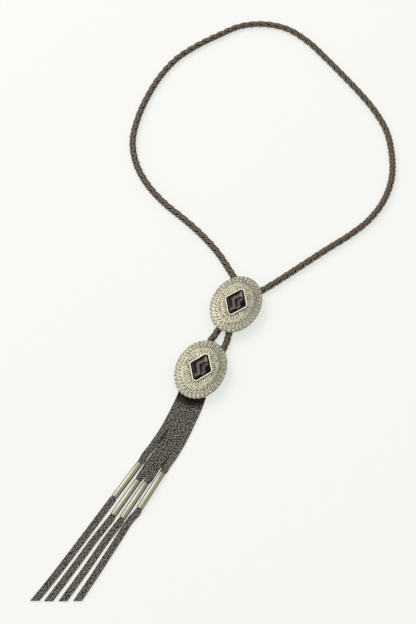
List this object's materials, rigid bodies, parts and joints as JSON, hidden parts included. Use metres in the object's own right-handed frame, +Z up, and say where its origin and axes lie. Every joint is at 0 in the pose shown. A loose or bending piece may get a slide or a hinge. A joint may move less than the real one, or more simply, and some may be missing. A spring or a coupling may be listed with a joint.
{
  "type": "bolo tie",
  "caption": "Bolo tie with domed oval conchos and lozenge stones, a looped leather cord, and a slit leather strap with tube beads, lying flat.",
  "frame": {"origin": "on the surface that the tie lies on, below the middle of the upper concho, on the flat underside of the slide clip", "axes": "+Y along the upper concho's long axis towards the cord's loop, +Z up out of the surface, +X to the right seen from above"},
  "size_m": [0.191, 0.4594, 0.0111],
  "materials": {
    "silver": "antiqued",
    "stone": "polished stone",
    "clip_metal": "satin",
    "cord_leather": "braided",
    "strap_leather": "pebbled",
    "bead_metal": "satin"
  },
  "bodies": {
    "root": {"upper_concho": "silver", "lower_concho": "silver", "upper_stone": "stone", "lower_stone": "stone", "slide_clip": "clip_metal", "end_clamp": "clip_metal", "cord": "cord_leather", "fringe": "strap_leather", "tube_bead_1": "bead_metal", "tube_bead_2": "bead_metal", "tube_bead_3": "bead_metal", "tube_bead_4": "bead_metal"}
  },
  "joints": []
}
